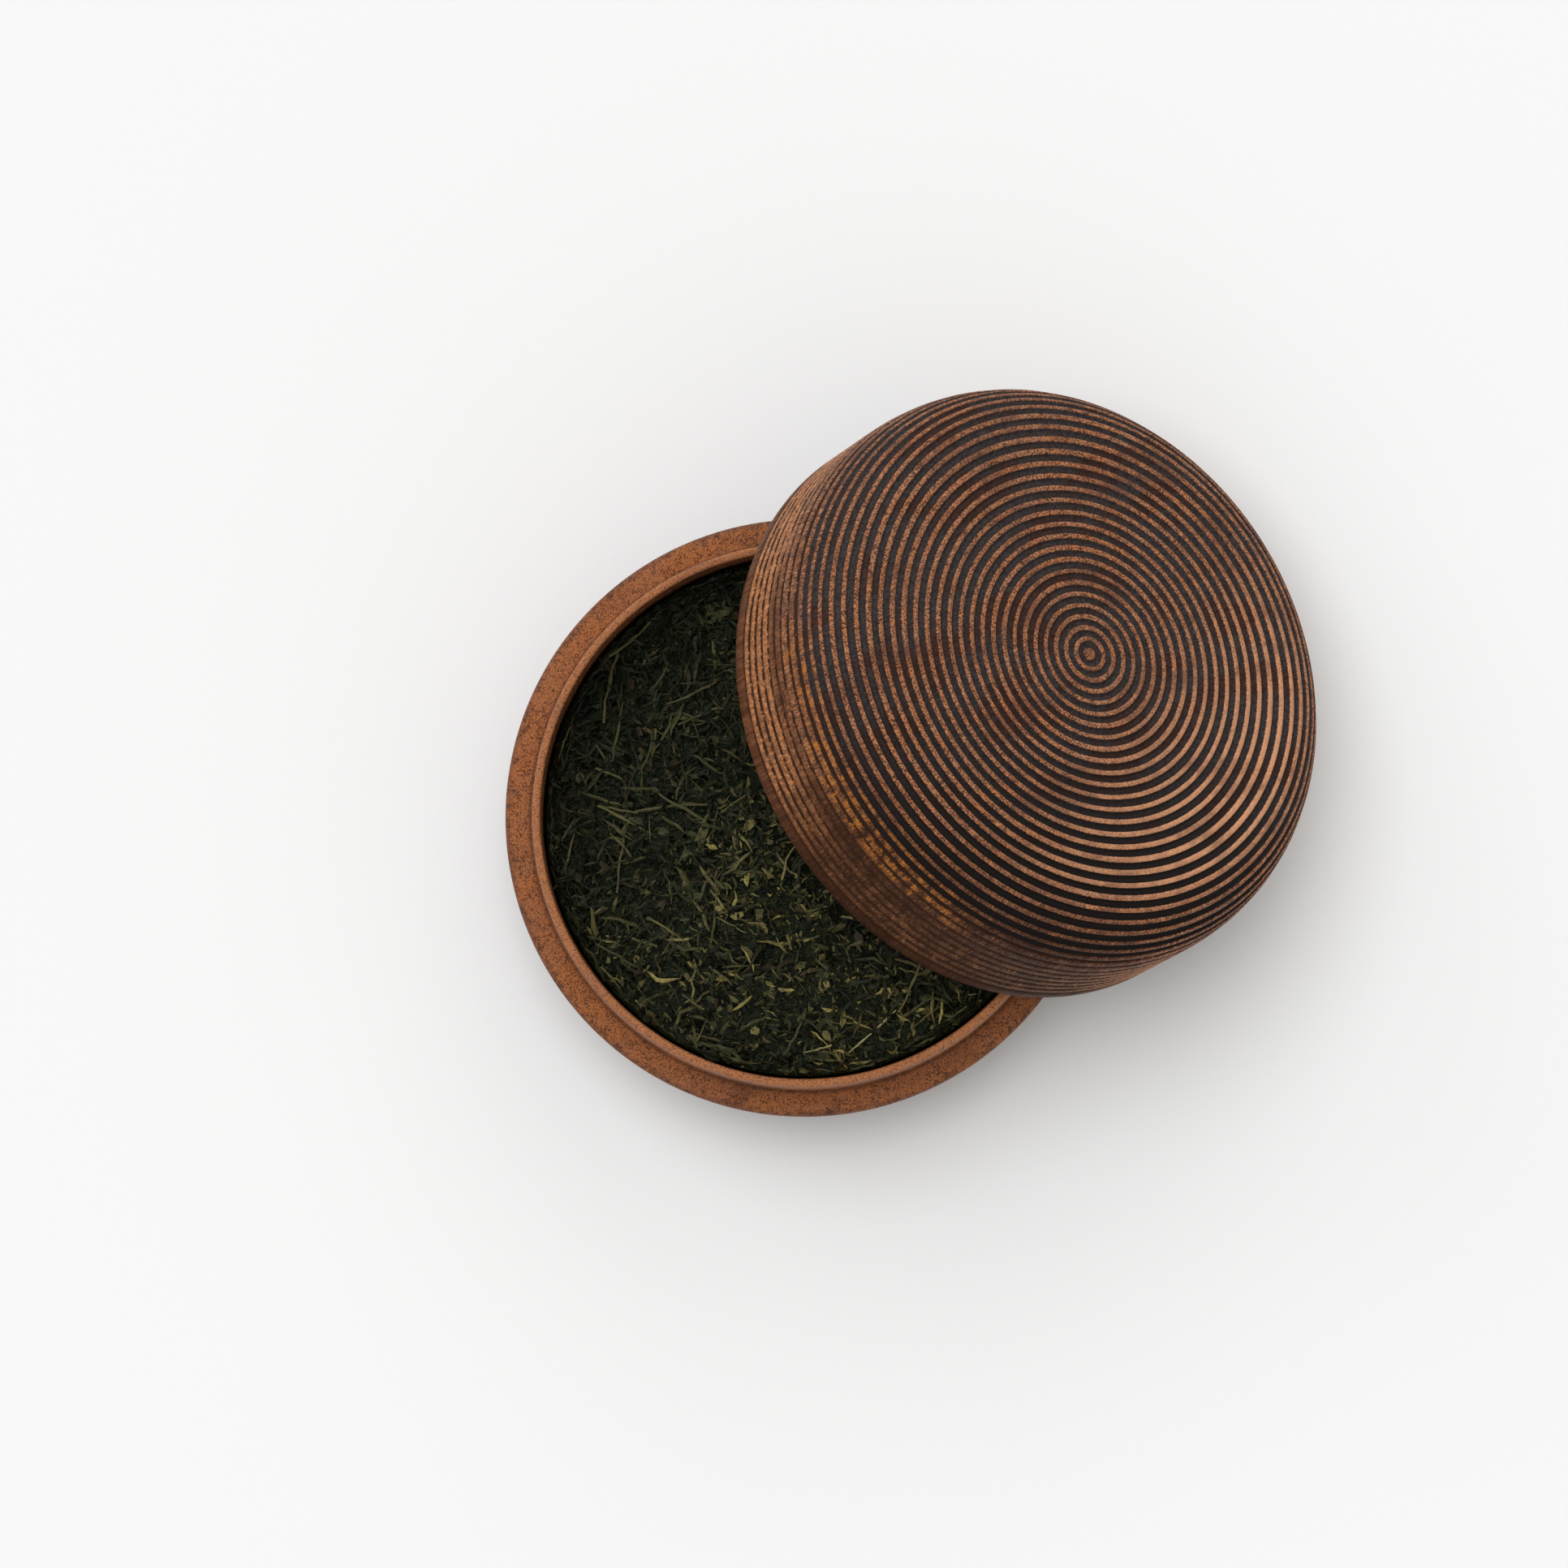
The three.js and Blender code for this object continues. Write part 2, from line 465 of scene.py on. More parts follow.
def leaves(name, count, lengths, widths, flatness, bend, tilt, low, high, blunt, palest,
           sections=5, around=5):
    """Rolled leaves: tapered, bent and slightly twisted rods, each a closed surface.

    flatness is the range of thickness to width, bend the usual bow to length, blunt the ends'
    width to the middle's, and palest the highest tint before it is shaded."""
    short_bias, taper_power, tint_power = 1.6, 2.4, 1.15
    wiggle_share, twist_spread, uneven = 0.3, 0.6, (0.6, 1.25)
    bow_up, wiggle_up = 0.5, 0.4        # bow and wiggle up and down, to those sideways
    long = RNG.uniform(0, 1, count) ** short_bias * (lengths[1] - lengths[0]) + lengths[0]
    wide = RNG.uniform(widths[0], widths[1], count)
    centre, forward, width, normal = scatter(count, long / 2, tilt, low, high)
    along = np.linspace(-0.5, 0.5, sections + 1)
    taper = (1 - np.abs(2 * along) ** taper_power) * (1 - blunt) + blunt
    turn = np.linspace(0, 2 * math.pi, around, endpoint=False)
    curve = RNG.normal(0, bend, (2, count, 1))
    wiggle = RNG.normal(0, bend * wiggle_share, (2, count, sections + 1))
    twist = RNG.normal(0, twist_spread, (count, 1)) * along[None, :] * 2
    thick = RNG.uniform(*flatness, (count, 1))
    half = (wide[:, None] / 2) * taper[None, :] * RNG.uniform(*uneven, (count, sections + 1))
    bow = (along ** 2 - 1 / 12)[None, :] * 4
    middle_u = long[:, None] * along[None, :]
    middle_v = long[:, None] * (curve[0] * bow + wiggle[0])
    middle_w = long[:, None] * (bow_up * curve[1] * bow + wiggle_up * wiggle[1])
    angle = turn[None, None, :] + twist[:, :, None]
    ring_v = half[:, :, None] * np.cos(turn)[None, None, :]
    ring_w = (half * thick)[:, :, None] * np.sin(turn)[None, None, :]
    v = middle_v[:, :, None] + ring_v * np.cos(angle - turn) - ring_w * np.sin(angle - turn)
    w = middle_w[:, :, None] + ring_v * np.sin(angle - turn) + ring_w * np.cos(angle - turn)
    u = np.broadcast_to(middle_u[:, :, None], v.shape)
    points = centre[:, None, None, :] + u[..., None] * forward[:, None, None, :]
    points = points + v[..., None] * width[:, None, None, :]
    points = points + w[..., None] * normal[:, None, None, :]
    per = (sections + 1) * around
    faces = repeated(rod_faces(sections, around), per, count)
    tint = shaded_tint(centre, RNG.random(count) ** tint_power * palest)
    return tea_piece(name, points.reshape(-1, 3), faces, np.repeat(tint, per))


def flakes(name, count, sizes, tilt, low, high):
    """Broken leaf bits: thin, curled plates with an uneven outline."""
    small_bias, tint_power, palest, around = 1.8, 1.4, 0.96, 6
    reach_share, corner_spread, corner_reach = 0.6, 0.22, (0.32, 0.62)
    length_range, width_range, half_thickness = (1.0, 1.7), (0.45, 0.85), (0.04, 0.09)
    edge_ripple, middle_ripple = 0.05, 0.06
    size = RNG.uniform(0, 1, count) ** small_bias * (sizes[1] - sizes[0]) + sizes[0]
    centre, forward, width, normal = scatter(count, size * reach_share, tilt, low, high)
    turn = np.linspace(0, 2 * math.pi, around, endpoint=False)[None, :]
    turn = turn + RNG.normal(0, corner_spread, (count, around))
    radius = size[:, None] * RNG.uniform(*corner_reach, (count, around))
    u = radius * np.cos(turn) * RNG.uniform(*length_range, (count, 1))
    v = radius * np.sin(turn) * RNG.uniform(*width_range, (count, 1))
    curl = RNG.uniform(-0.5, 0.5, (count, 1))
    ripple = RNG.normal(0, edge_ripple, (count, around)) * size[:, None]
    w = curl * v ** 2 / size[:, None] * 2 + ripple
    u = np.c_[u, np.zeros(count)]
    v = np.c_[v, np.zeros(count)]
    w = np.c_[w, RNG.normal(0, middle_ripple, count) * size]
    half = RNG.uniform(*half_thickness, (count, 1, 1)) * normal[:, None, :]
    flat = centre[:, None, :] + u[..., None] * forward[:, None, :]
    flat = flat + v[..., None] * width[:, None, :]
    flat = flat + w[..., None] * normal[:, None, :]
    points = np.concatenate([flat + half, flat - half], axis=1)
    per = 2 * (around + 1)
    faces = repeated(plate_faces(around), per, count)
    tint = shaded_tint(centre, RNG.random(count) ** tint_power * palest)
    return tea_piece(name, points.reshape(-1, 3), faces, np.repeat(tint, per))


def tea_piece(name, points, faces, tint):
    """Loose tea that rides on the body. The higher its tint, the paler it is, and the tint holds
    painted shade.
    """
    piece = mesh_object(name, points, faces, {"tint": tint}, smooth=False)
    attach(piece, "caddy")
    return piece


def make_tea_bed():
    """The heap under the loose leaves, down to the bowl's floor."""
    radii = np.linspace(0, TEA_RADIUS, BED_ROWS + 1)[1:]
    angles = np.linspace(0, 2 * math.pi, BED_SEGMENTS, endpoint=False)
    x = radii[:, None] * np.cos(angles)
    y = radii[:, None] * np.sin(angles)
    z = tea_height(x, y) - BED_BELOW_LEAVES
    top = np.stack([x, y, z], -1).reshape(-1, 3)
    rim = arc(TEA_RADIUS - BED_CORNER, TEA_BOTTOM + BED_CORNER, BED_CORNER, 0, -90, 5)
    below = np.array([[r * math.cos(t), r * math.sin(t), h] for r, h in rim for t in angles])
    crown = float(tea_height(0.0, 0.0)) - BED_BELOW_LEAVES
    verts = np.concatenate([top, below, [[0, 0, crown], [0, 0, TEA_BOTTOM]]])
    rows = BED_ROWS + len(rim)
    last = (rows - 1) * BED_SEGMENTS
    faces = []
    for j in range(BED_SEGMENTS):
        k = (j + 1) % BED_SEGMENTS
        faces.append((rows * BED_SEGMENTS, j, k))
        for i in range(rows - 1):
            a, b = i * BED_SEGMENTS, (i + 1) * BED_SEGMENTS
            faces.append((a + j, b + j, b + k, a + k))
        faces.append((last + j, rows * BED_SEGMENTS + 1, last + k))
    piece = mesh_object("tea_bed", verts, faces, {"tint": np.full(len(verts), BED_TINT)})
    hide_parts("tea_leaves")
    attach(piece, "caddy")
    return piece


# ---------------------------------------------------------------- materials

class Shader:
    """A material with a Principled shader and short calls for the nodes around it.

    Most calls add a node and return its output. A value for them is a number, a colour or a
    vector, or another node's output."""

    def __init__(self, name):
        self.material = bpy.data.materials.new(name)
        self.material.use_nodes = True
        self.tree = self.material.node_tree
        self.base = self.tree.nodes["Principled BSDF"]

    def put(self, socket, value):
        if isinstance(value, bpy.types.NodeSocket):
            self.tree.links.new(value, socket)
        elif socket.type == "RGBA":
            socket.default_value = (*value, 1.0)
        else:
            socket.default_value = value

    def node(self, kind, settings=None, **inputs):
        made = self.tree.nodes.new(kind)
        for key, value in (settings or {}).items():
            setattr(made, key, value)
        for key, value in inputs.items():
            self.put(made.inputs[key.replace("_", " ")], value)
        return made

    def vector_maths(self, operation, output, *values):
        made = self.node("ShaderNodeVectorMath", {"operation": operation})
        for socket, value in zip(made.inputs, values):
            self.put(socket, value)
        return made.outputs[output]

    def attribute(self, name, output="Fac"):
        return self.node("ShaderNodeAttribute", {"attribute_name": name}).outputs[output]

    def object_place(self):
        return self.node("ShaderNodeTexCoord").outputs["Object"]

    def scaled(self, vector, scale):
        return self.vector_maths("MULTIPLY", "Vector", vector, scale)

    def noise(self, vector, scale, detail=3.0, rough=0.55, distortion=0.0):
        made = self.node("ShaderNodeTexNoise", None, Vector=vector, Scale=scale, Detail=detail,
                         Roughness=rough, Distortion=distortion)
        return made.outputs["Fac"]

    def dots(self, vector, scale):
        made = self.node("ShaderNodeTexVoronoi", {"feature": "F1"}, Vector=vector, Scale=scale)
        return made.outputs["Distance"]

    def maths(self, operation, a, b=0.0, c=0.0):
        made = self.node("ShaderNodeMath", {"operation": operation})
        for socket, value in zip(made.inputs, (a, b, c)):
            self.put(socket, value)
        return made.outputs["Value"]

    def product(self, value, *factors):
        for factor in factors:
            value = self.maths("MULTIPLY", value, factor)
        return value

    def step(self, value, low, high, to_low=0.0, to_high=1.0):
        made = self.node("ShaderNodeMapRange", {"interpolation_type": "SMOOTHSTEP"}, Value=value,
                         From_Min=low, From_Max=high, To_Min=to_low, To_Max=to_high)
        return made.outputs["Result"]

    def fade(self, value, low, high):
        """The other way round than step: 1 up to low and 0 from high."""
        return self.step(value, low, high, 1.0, 0.0)

    def mix(self, share, a, b):
        """From colour a to colour b. Inputs 6 and 7 and output 2 are the node's colour ones."""
        made = self.node("ShaderNodeMix", {"data_type": "RGBA", "blend_type": "MIX"})
        for number, value in ((0, share), (6, a), (7, b)):
            self.put(made.inputs[number], value)
        return made.outputs[2]

    def ramp(self, value, stops):
        made = self.node("ShaderNodeValToRGB", None, Fac=value)
        line = made.color_ramp.elements
        while len(line) < len(stops):
            line.new(0.5)
        for element, (place, colour) in zip(line, stops):
            element.position = place
            element.color = (*colour, 1)
        return made.outputs["Color"]

    def bump(self, height, strength, distance):
        made = self.node("ShaderNodeBump", None, Height=height, Strength=strength,
                         Distance=distance)
        return made.outputs["Normal"]

    def surface(self, colour, roughness):
        """Gives the shader its colour and roughness, and returns the finished material."""
        self.put(self.base.inputs["Base Color"], colour)
        self.put(self.base.inputs["Roughness"], roughness)
        return self.material


# Wood colours
PORE = (0.030, 0.013, 0.010)
# The grooves' black stain, greyed by a painted sheen
GROOVE_BLACK_AND_SHEEN = (0.056, 0.045, 0.044)
GROOVE_RED = (0.062, 0.029, 0.022)
# The darkest groove colour, for dark specks and for painted shade on one side of the grooves
GROOVE_SPECKS_AND_SHADE = (0.012, 0.009, 0.008)
GROOVE_BROWN = (0.040, 0.016, 0.008)
LID_PALE = (0.44, 0.192, 0.094)
LID_WARM = (0.47, 0.172, 0.064)
LID_DEEP = (0.080, 0.038, 0.027)
LID_GOLD = (0.56, 0.222, 0.078)
# Colour of the painted highlight on the lid's crests on one side
LID_CREST_HIGHLIGHT = (0.74, 0.37, 0.20)
LID_RIM = (0.060, 0.020, 0.007)
LID_FLECK = (0.085, 0.032, 0.016)
LID_GLINT = (0.66, 0.32, 0.15)
LID_SMEAR = (0.090, 0.040, 0.028)
LID_BELT = (0.085, 0.030, 0.013)
LID_DUSK = (0.026, 0.0080, 0.0025)
LID_GLOW = (0.43, 0.155, 0.030)
BODY_PALE = (0.385, 0.144, 0.057)
BODY_WARM = (0.41, 0.143, 0.043)
BODY_DEEP = (0.115, 0.043, 0.024)
BODY_EDGE = (0.066, 0.032, 0.027)
BODY_SEAM = (0.075, 0.028, 0.015)
# Colour of the painted highlight on the lip's top
BODY_LIP_HIGHLIGHT = (0.40, 0.160, 0.068)

# Where the lid's layers come in (AT) and go out again (UNTIL), in distance along its outside
# from the middle of its top
WALL_AT = (38.0, 50.0)
CREST_HIGHLIGHT_UNTIL = (33.0, 42.0)
GLOW_AT = (45.6, 47.2)
GLOW_UNTIL = (51.0, 53.6)
GLINT_AT = (50.0, 56.0)
GOLD_AT = (52.0, 57.0)
BELT_AT = (52.5, 54.0)
BELT_UNTIL = (55.5, 57.5)
RIM_AT = (63.4, 63.8)

# Sides of a piece in its own frame: azimuth, and where the layer starts and is full out that way
# Painted shade in the grooves out towards this side
GROOVE_SHADE_SIDE = (236, 0, 40)
# Painted highlight on the lid's top crests out towards this side
CREST_HIGHLIGHT_SIDE = (288, 2, 34)
BELT_SIDE = (174, 29, 40)
DUSK_SIDE = (216, 30, 42)
GLOW_SIDE = (183, 35, 41)

# The body's dark edge and seam, in distance from its axis, and its ledge and painted lip
# highlight, in height
EDGE_AT = (43.7, 44.9)
EDGE_RAGGED = 2.6
SEAM_RADIUS = 41.2
SEAM_HALF_WIDTH = 0.5
LEDGE_UNTIL = (LEDGE_HEIGHT + 0.15, LEDGE_HEIGHT + 0.5)
LIP_HIGHLIGHT_AT = (LIP_TOP - 0.5, LIP_TOP - 0.1)

# The fibres run up a piece, so its grain is stretched along its own Z
GRAIN = (1.0, 1.0, 0.17)
PORES = (1.0, 1.0, 0.3)
FIGURE = (0.35, 1.0, 0.3)
CLOUDS = (1.0, 1.0, 0.5)
STREAKS = (1.0, 1.0, 0.08)
UPRIGHT = (1.0, 1.0, 0.05)


def end_grain(s, at):
    """Pores and grime of wood whose fibres run up the piece: dots on the flats and upright dashes
    on the walls. The third mask says where the pores are crowded."""
    grain = s.scaled(at, GRAIN)
    crowd = s.noise(grain, 1.0, 3, 0.6)
    grit = s.noise(grain, 3.3, 3, 0.8)
    dots = s.dots(s.scaled(at, PORES), 3.4)
    reach = s.step(crowd, 0.3, 0.7, 0.22, 0.55)
    pore = s.fade(s.maths("SUBTRACT", dots, reach), -0.15, 0.05)
    return pore, grit, crowd


def wood(name, pale, warm, deep, grime_cover, pore_cover):
    """Turned and stained wood: returns the shader, the points' places, the colour before the
    rings, and the masks that the two pieces finish in their own ways."""
    s = Shader(name)
    at = s.attribute("local", "Vector")
    pore, grit, crowd = end_grain(s, at)
    figure = s.noise(s.scaled(at, FIGURE), 0.3, 4, 0.6, 0.6)
    clouds = s.noise(s.scaled(at, CLOUDS), 0.11, 3, 0.55)
    streaks = s.noise(s.scaled(at, STREAKS), 1.5, 3, 0.6)
    tone = s.mix(s.step(figure, 0.38, 0.64), pale, warm)
    tone = s.mix(s.step(clouds, 0.5, 0.7, 0.0, 0.5), tone, deep)
    tone = s.mix(s.step(streaks, 0.5, 0.75, 0.0, 0.5), tone, deep)
    tone = s.mix(s.step(grit, 0.46, 0.56, 0.0, grime_cover), tone, deep)
    tone = s.mix(s.product(pore, pore_cover), tone, PORE)
    lumps = s.maths("SUBTRACT", s.product(grit, 0.7), s.product(pore, 0.6))
    s.put(s.base.inputs["Normal"], s.bump(lumps, strength=0.6, distance=0.00015))
    return s, at, tone, grit, crowd


def side_share(s, at, azimuth, low, high):
    """How far a point lies out towards one side of the piece, 0 at low and 1 at high."""
    turn = math.radians(azimuth)
    towards = (math.cos(turn), math.sin(turn), 0)
    return s.step(s.vector_maths("DOT_PRODUCT", "Value", at, towards), low, high)


def groove_colour(s, at, fine):
    """Stain that stayed in the grooves: black and red-brown patches, brown in the fine ones. The
    black is greyed by a painted sheen, and the grooves on one side get painted shade.
    """
    redness = s.noise(s.scaled(at, (0.5, 1.0, 1.0)), 0.16, 3, 0.6)
    # Black patches greyed by a painted sheen, and red-brown ones
    dark = s.mix(s.step(redness, 0.46, 0.62), GROOVE_BLACK_AND_SHEEN, GROOVE_RED)
    # Painted shade: the grooves darken out towards one side.
    dark = s.mix(side_share(s, at, *GROOVE_SHADE_SIDE), dark, GROOVE_SPECKS_AND_SHADE)
    specks = s.noise(s.scaled(at, GRAIN), 2.4, 4, 0.8)
    dark = s.mix(s.step(specks, 0.42, 0.56, 0.0, 0.6), dark, GROOVE_SPECKS_AND_SHADE)
    return s.mix(fine, dark, GROOVE_BROWN)


def ringed(s, at, tone, grit):
    """The tone with the stained grooves laid over it: ragged edges, and gaps in the fine ones."""
    along = s.attribute("along")
    fine = s.step(along, FINE_RINGS_FROM, FINE_RINGS_FROM + FINE_RINGS_FADE)
    ragged = s.product(s.maths("SUBTRACT", grit, 0.5), 0.95)
    breaks = s.noise(s.scaled(at, (1.0, 1.0, 1.4)), 0.55, 3, 0.7)
    gaps = s.product(fine, s.step(breaks, 0.4, 0.66, 0.0, 0.65))
    kept = s.product(s.attribute("groove"), s.maths("SUBTRACT", 1.0, gaps))
    cover = s.step(s.maths("ADD", kept, ragged), 0.14, 0.5)
    return s.mix(cover, tone, groove_colour(s, at, fine))


def golden_wall(s, at, along, tone):
    """Golden brown wall, a painted highlight on the crests on one side of the top, and a dark
    band at the rim.
    """
    tone = s.mix(s.product(s.step(along, *GOLD_AT), 0.62), tone, LID_GOLD)
    # Painted highlight: the top's crests are lighter out towards one side.
    crest_highlight = s.product(side_share(s, at, *CREST_HIGHLIGHT_SIDE), s.fade(along, *CREST_HIGHLIGHT_UNTIL))
    tone = s.mix(s.product(crest_highlight, 0.62), tone, LID_CREST_HIGHLIGHT)
    band = s.step(along, *RIM_AT)
    upright = s.noise(s.scaled(at, UPRIGHT), 1.1, 4, 0.7)
    tone = s.mix(s.product(band, s.step(upright, 0.35, 0.6, 0.7, 1.0)), tone, LID_RIM)
    return tone, band


def mottled_wall(s, at, along, tone, wall, band):
    """Dark flecks and, above the rim's band, light glints on the wall, and smears all over."""
    fleck = s.step(s.noise(s.scaled(at, (1.0, 1.0, 0.7)), 1.9, 3, 0.75), 0.44, 0.54)
    tone = s.mix(s.product(fleck, wall, 0.6), tone, LID_FLECK)
    specks = s.noise(s.scaled(at, (1.0, 1.0, 0.6)), 2.6, 3, 0.7)
    above_band = s.maths("SUBTRACT", s.step(along, *GLINT_AT), band)
    tone = s.mix(s.product(s.step(specks, 0.54, 0.62, 0.0, 0.4), above_band), tone, LID_GLINT)
    smear = s.noise(s.scaled(at, (0.6, 1.0, 1.0)), 0.13, 4, 0.7)
    return s.mix(s.step(smear, 0.5, 0.66, 0.0, 0.55), tone, LID_SMEAR)


def dark_sides(s, at, along, tone, wall, grit):
    """A dark belt on one side of the wall, and the whole wall darker on the side next to it."""
    patchy = s.noise(s.scaled(at, (1.0, 1.0, 0.6)), 0.35, 4, 0.65)
    belt = s.product(s.step(along, *BELT_AT), s.fade(along, *BELT_UNTIL),
                     side_share(s, at, *BELT_SIDE), s.step(patchy, 0.34, 0.58, 0.45, 1.0),
                     s.step(grit, 0.4, 0.56, 0.7, 1.0))
    tone = s.mix(belt, tone, LID_BELT)
    dusk = s.product(side_share(s, at, *DUSK_SIDE), wall, s.step(patchy, 0.3, 0.6, 0.72, 1.0),
                     s.step(grit, 0.42, 0.58, 0.80, 0.98))
    return s.mix(dusk, tone, LID_DUSK)


def glowing_patches(s, at, along, tone, grit):
    """Golden patches where the shoulder turns into the wall, on one side."""
    patches = s.noise(s.scaled(at, (1, 1, 0.5)), 0.5, 4, 0.7)
    glow = s.product(s.step(along, *GLOW_AT), s.fade(along, *GLOW_UNTIL),
                     side_share(s, at, *GLOW_SIDE), s.step(patches, 0.44, 0.6),
                     s.step(grit, 0.42, 0.62, 0.95, 0.3))
    return s.mix(glow, tone, LID_GLOW)


def lid_material():
    s, at, tone, grit, _ = wood("lid_wood", LID_PALE, LID_WARM, LID_DEEP, 0.88, 0.8)
    along = s.attribute("along")
    wall = s.step(along, *WALL_AT)
    tone, band = golden_wall(s, at, along, tone)
    tone = mottled_wall(s, at, along, tone, wall, band)
    tone = dark_sides(s, at, along, tone, wall, grit)
    tone = glowing_patches(s, at, along, tone, grit)
    s.base.inputs["Specular IOR Level"].default_value = 0.08
    return s.surface(ringed(s, at, tone, grit), s.step(grit, 0.3, 0.75, 0.38, 0.58))


def body_material():
    """The body's wood, dark at the ledge's outer edge and in the seam, with a painted highlight
    on the lip's top.
    """
    s, at, tone, grit, crowd = wood("body_wood", BODY_PALE, BODY_WARM, BODY_DEEP, 0.55, 0.7)
    place = s.node("ShaderNodeSeparateXYZ", None, Vector=at).outputs
    flat = s.node("ShaderNodeCombineXYZ", None, X=place["X"], Y=place["Y"]).outputs["Vector"]
    radius = s.vector_maths("LENGTH", "Value", flat)
    below_lip = s.fade(place["Z"], *LEDGE_UNTIL)
    ragged = s.product(s.maths("SUBTRACT", crowd, 0.5), EDGE_RAGGED)
    edge = s.step(s.maths("ADD", radius, ragged), *EDGE_AT)
    tone = s.mix(s.product(edge, below_lip, 0.5), tone, BODY_EDGE)
    beside = s.maths("ABSOLUTE", s.maths("SUBTRACT", radius, SEAM_RADIUS))
    seam = s.maths("SUBTRACT", 1.0, s.step(beside, 0.0, SEAM_HALF_WIDTH))
    tone = s.mix(s.product(seam, below_lip, 0.6), tone, BODY_SEAM)
    # Painted highlight: the lip's top is paler, in patches.
    lip_highlight = s.product(s.step(place["Z"], *LIP_HIGHLIGHT_AT), s.step(grit, 0.42, 0.6, 0.75, 0.1))
    tone = s.mix(lip_highlight, tone, BODY_LIP_HIGHLIGHT)
    s.base.inputs["Specular IOR Level"].default_value = 0.18
    return s.surface(ringed(s, at, tone, grit), s.step(grit, 0.3, 0.75, 0.34, 0.55))


# Tea colours, from the darkest tint to the palest
TEA_SHADES = (
    (0.0, (0.0022, 0.0032, 0.0012)),
    (0.3, (0.0165, 0.0185, 0.0080)),
    (0.55, (0.052, 0.050, 0.0200)),
    (0.8, (0.110, 0.094, 0.035)),
    (0.97, (0.26, 0.215, 0.065)),
)
STEM_SHADES = (
    (0.0, (0.045, 0.040, 0.012)),
    (0.6, (0.085, 0.075, 0.022)),
    (0.9, (0.16, 0.13, 0.045)),
    (1.0, (0.33, 0.30, 0.13)),
)
TEA_BROWNER = (0.050, 0.032, 0.015)
TEA_BLUER = (0.025, 0.036, 0.019)
TEA_VEIN = (0.005, 0.006, 0.003)
STEM_VEIN = (0.02, 0.02, 0.008)
KIND_ROUNDS = 41.0
FLOOR_GREYS = (0.83, 0.83, 0.83), (0.845, 0.845, 0.845)


def tea_material():
    """Dark green leaves. The tint runs through the kinds KIND_ROUNDS times, so that browner and
    bluer leaves come in every shade."""
    s = Shader("tea")
    tint = s.attribute("tint")
    place = s.object_place()
    veins = s.noise(place, 2200, 3, 0.6)
    patches = s.noise(place, 420, 2, 0.5)
    uneven = s.product(s.maths("SUBTRACT", patches, 0.5), 0.7)
    # The tint holds the leaves' painted shade as well as their own colour.
    colour = s.ramp(s.maths("ADD", tint, uneven), TEA_SHADES)
    kind = s.maths("FRACT", s.product(tint, KIND_ROUNDS))
    colour = s.mix(s.step(kind, 0.86, 0.92, 0.0, 0.5), colour, TEA_BROWNER)
    colour = s.mix(s.step(kind, 0.22, 0.28, 0.35, 0.0), colour, TEA_BLUER)
    colour = s.mix(s.step(veins, 0.45, 0.7, 0.0, 0.6), colour, TEA_VEIN)
    s.put(s.base.inputs["Normal"], s.bump(veins, strength=0.8, distance=0.0002))
    s.base.inputs["Specular IOR Level"].default_value = 0.2
    return s.surface(colour, s.step(veins, 0.3, 0.7, 0.2, 0.5))


def stem_material():
    s = Shader("tea_stem")
    veins = s.noise(s.object_place(), 1500, 3, 0.6)
    colour = s.ramp(s.attribute("tint"), STEM_SHADES)
    colour = s.mix(s.step(veins, 0.45, 0.75, 0.0, 0.6), colour, STEM_VEIN)
    s.put(s.base.inputs["Normal"], s.bump(veins, strength=0.5, distance=0.0001))
    return s.surface(colour, s.step(veins, 0.2, 0.8, 0.45, 0.7))


def floor_material():
    s = Shader("pale_floor")
    grain = s.noise(s.object_place(), 900, 3, 0.6)
    s.base.inputs["Specular IOR Level"].default_value = 0.2
    return s.surface(s.mix(grain, *FLOOR_GREYS), 0.9)


def dress(piece, material):
    piece.data.materials.clear()
    piece.data.materials.append(material)


# ---------------------------------------------------------------- build

lid = make_lid()
body = make_body()
tea_bed = make_tea_bed()
tea = tea_material()
stem = stem_material()
needles = leaves("tea_needles", 3450, lengths=(1.8, 7.0), widths=(0.28, 0.85),
                 flatness=(0.4, 0.9), bend=0.08, tilt=0.24, low=-2.2, high=0.95,
                 blunt=0.2, palest=0.88)
bits = leaves("tea_short_bits", 5300, lengths=(0.7, 2.6), widths=(0.2, 0.65),
              flatness=(0.4, 0.9), bend=0.14, tilt=0.4, low=-1.9, high=0.6,
              blunt=0.35, palest=0.98, sections=3)
plates = flakes("tea_flakes", 5200, sizes=(0.4, 2.1), tilt=0.45, low=-1.7, high=0.5)
dust = flakes("tea_dust", 7000, sizes=(0.22, 0.75), tilt=0.6, low=-1.3, high=0.3)
stalks = leaves("tea_stems", 80, lengths=(4.0, 12.0), widths=(0.32, 0.62),
                flatness=(0.6, 0.95), bend=0.03, tilt=0.06, low=0.1, high=0.85,
                blunt=0.7, palest=0.93, sections=7, around=6)
dress(lid, lid_material())
dress(body, body_material())
for piece in (tea_bed, needles, bits, plates, dust):
    dress(piece, tea)
dress(stalks, stem)


# ---------------------------------------------------------------- stage

FLOOR_HALF = 3.0                # metres
SURROUND_COLOUR = (1.0, 0.992, 0.96, 1)
SURROUND_STRENGTH = 0.58
WHITE = (1.0, 1.0, 1.0)
COOL_WHITE = (0.985, 1.0, 1.03)
CAMERA_PLACE = (-0.01516, -0.02509, 1.0039)     # metres
CAMERA_TURN = (2.0013, 0.1167, -29.061)


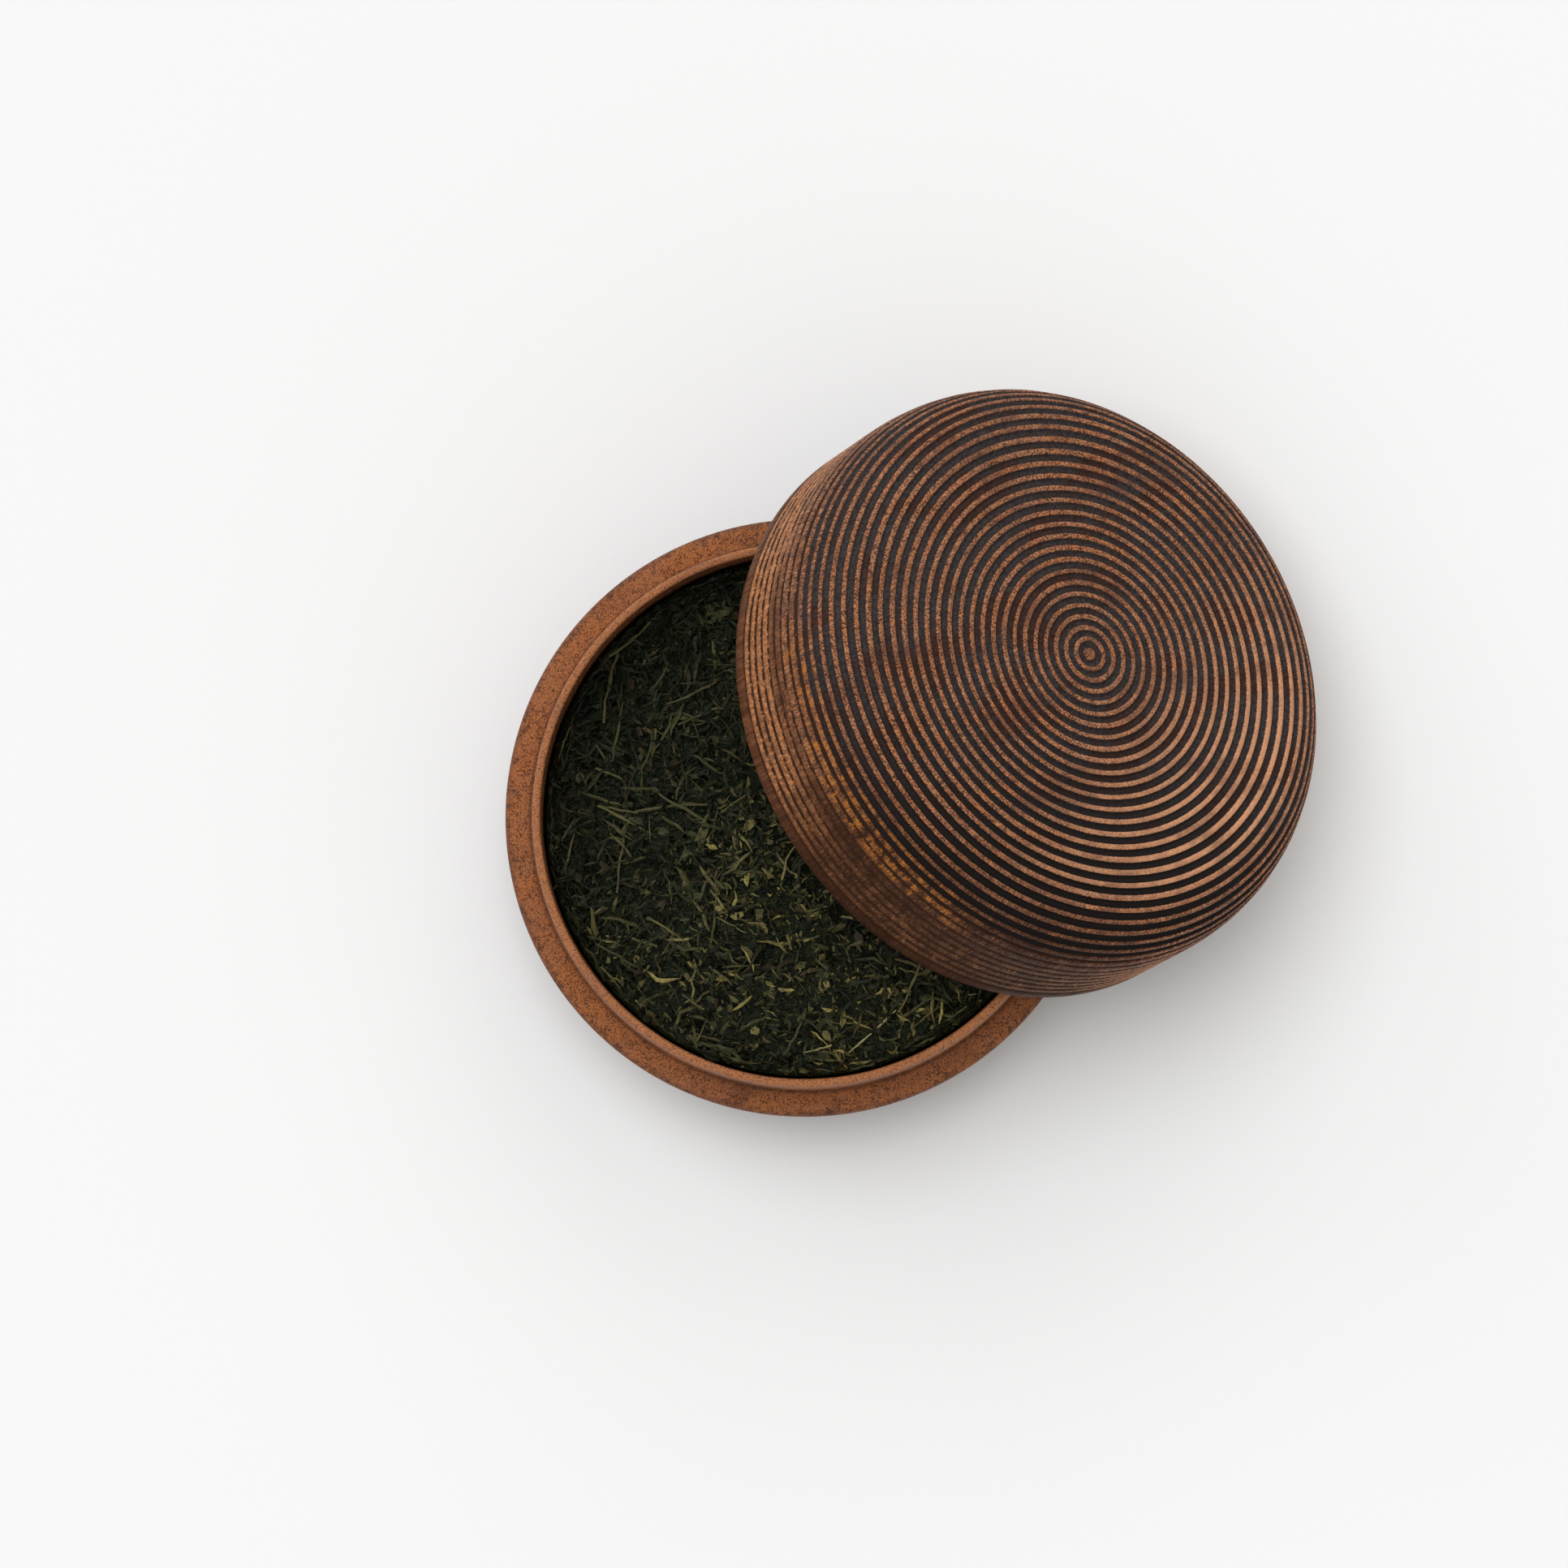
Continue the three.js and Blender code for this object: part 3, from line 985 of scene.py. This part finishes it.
def make_floor():
    corners = [(-FLOOR_HALF, -FLOOR_HALF, 0), (FLOOR_HALF, -FLOOR_HALF, 0),
               (FLOOR_HALF, FLOOR_HALF, 0), (-FLOOR_HALF, FLOOR_HALF, 0)]
    mesh = bpy.data.meshes.new("floor")
    mesh.from_pydata(corners, [], [(0, 1, 2, 3)])
    floor = bpy.data.objects.new("floor", mesh)
    bpy.context.scene.collection.objects.link(floor)
    dress(floor, floor_material())


def lamp(name, azimuth, height, energy, spread, colour, gloss):
    """A far light as wide as spread. One without gloss isn't seen in what it lights, so that it
    lays no pale veil over the wood and the tea."""
    data = bpy.data.lights.new(name, "SUN")
    data.energy = energy
    data.angle = math.radians(spread)
    data.color = colour
    holder = bpy.data.objects.new(name, data)
    azimuth, height = math.radians(azimuth), math.radians(height)
    flat = math.cos(height)
    towards = Vector((math.cos(azimuth) * flat, math.sin(azimuth) * flat, math.sin(height)))
    holder.rotation_euler = towards.to_track_quat("Z", "Y").to_euler()
    holder.visible_glossy = gloss
    bpy.context.scene.collection.objects.link(holder)


def make_light():
    """A big soft light high up, two weaker and lower ones, and a nearly white surround."""
    lamp("overhead", azimuth=106, height=73, energy=1.52, spread=42, colour=COOL_WHITE,
         gloss=False)
    lamp("window", azimuth=112, height=22, energy=0.30, spread=40, colour=WHITE, gloss=True)
    lamp("room", azimuth=50, height=30, energy=0.40, spread=44, colour=WHITE, gloss=True)
    world = bpy.data.worlds.new("surround")
    world.use_nodes = True
    background = world.node_tree.nodes["Background"].inputs
    background["Color"].default_value = SURROUND_COLOUR
    background["Strength"].default_value = SURROUND_STRENGTH
    bpy.context.scene.world = world


def make_camera():
    """The camera nearly straight over the caddy, a metre up."""
    data = bpy.data.cameras.new("camera")
    data.lens = 150
    data.sensor_width = 36
    data.clip_end = 20
    camera = bpy.data.objects.new("camera", data)
    camera.location = CAMERA_PLACE
    camera.rotation_mode = "YXZ"
    camera.rotation_euler = [math.radians(a) for a in CAMERA_TURN]
    bpy.context.scene.collection.objects.link(camera)
    bpy.context.scene.camera = camera


make_floor()
make_light()
make_camera()
bpy.context.scene.view_settings.view_transform = "Standard"
bpy.context.scene.view_settings.look = "None"
